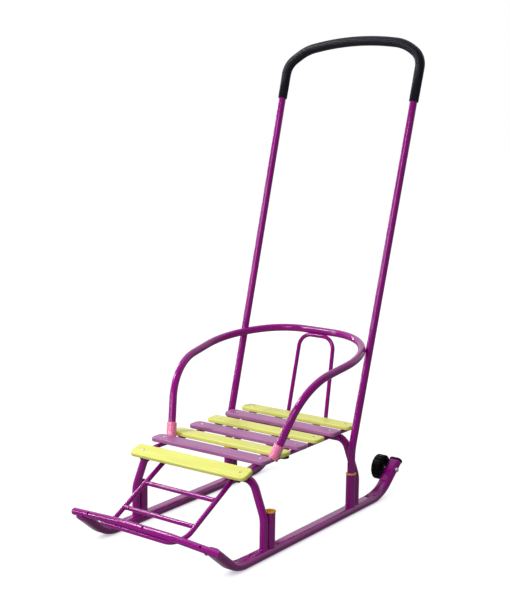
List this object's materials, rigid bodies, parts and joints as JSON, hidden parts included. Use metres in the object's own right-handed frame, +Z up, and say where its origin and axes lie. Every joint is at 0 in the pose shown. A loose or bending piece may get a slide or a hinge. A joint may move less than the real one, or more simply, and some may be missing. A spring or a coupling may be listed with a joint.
{
  "type": "child's push sled",
  "caption": "Child's steel-tube push sled with slatted seat, ladder footrest, backrest hoop, tall push handle and small transport wheels.",
  "frame": {"origin": "on the ground under the middle of the bounding box", "axes": "+Z up, the sled travels towards -Y, +X is the seated child's left"},
  "size_m": [0.416, 0.836, 1.1249],
  "materials": {
    "paint": "glossy magenta-purple powder coat",
    "slat_yellow": "satin lemon yellow",
    "slat_lilac": "satin lilac",
    "black_cap": "matt black",
    "grip": "black, finely ribbed lengthwise",
    "bushing": "yellow-orange",
    "sleeve": "pink",
    "wheel": "black with a blocked tread",
    "zinc": "zinc plated"
  },
  "bodies": {
    "sled": {"backrest_hoop": "paint", "backrest_sleeve_left": "sleeve", "backrest_sleeve_right": "sleeve", "backrest_support": "paint", "footrest_frame": "paint", "footrest_rung_lower": "paint", "footrest_rung_upper": "paint", "footrest_side_right": "paint", "front_bushing_left": "bushing", "front_crossbar": "paint", "front_leg_arch": "paint", "front_socket_left": "paint", "front_socket_right": "paint", "pusher_grip": "grip", "pusher_tube": "paint", "rail_plug_front_left": "black_cap", "rail_plug_front_right": "black_cap", "rail_plug_rear_left": "black_cap", "rail_plug_rear_right": "black_cap", "rear_bushing_left": "bushing", "rear_bushing_right": "bushing", "rear_leg_arch": "paint", "rear_socket_left": "paint", "rear_socket_right": "paint", "runner_cap_left": "black_cap", "runner_cap_right": "black_cap", "runner_left": "paint", "runner_right": "paint", "side_rail_left": "paint", "side_rail_right": "paint", "slat_1": "slat_yellow", "slat_2": "slat_lilac", "slat_3": "slat_yellow", "slat_4": "slat_lilac", "slat_5": "slat_yellow", "slat_6": "slat_lilac", "slat_7": "slat_yellow", "wheel_bolt_left": "zinc", "wheel_bolt_right": "zinc"},
    "wheel_left": {"wheel_left": "wheel"},
    "wheel_right": {"wheel_right": "wheel"}
  },
  "joints": [
    {"name": "wheel_left_spin", "type": "hinge", "parent": "sled", "child": "wheel_left", "pos_m": [0.15125, 0.32705, 0.062], "axis": [1, 0, 0], "continuous": true},
    {"name": "wheel_right_spin", "type": "hinge", "parent": "sled", "child": "wheel_right", "pos_m": [-0.15125, 0.32705, 0.062], "axis": [1, 0, 0], "continuous": true}
  ]
}
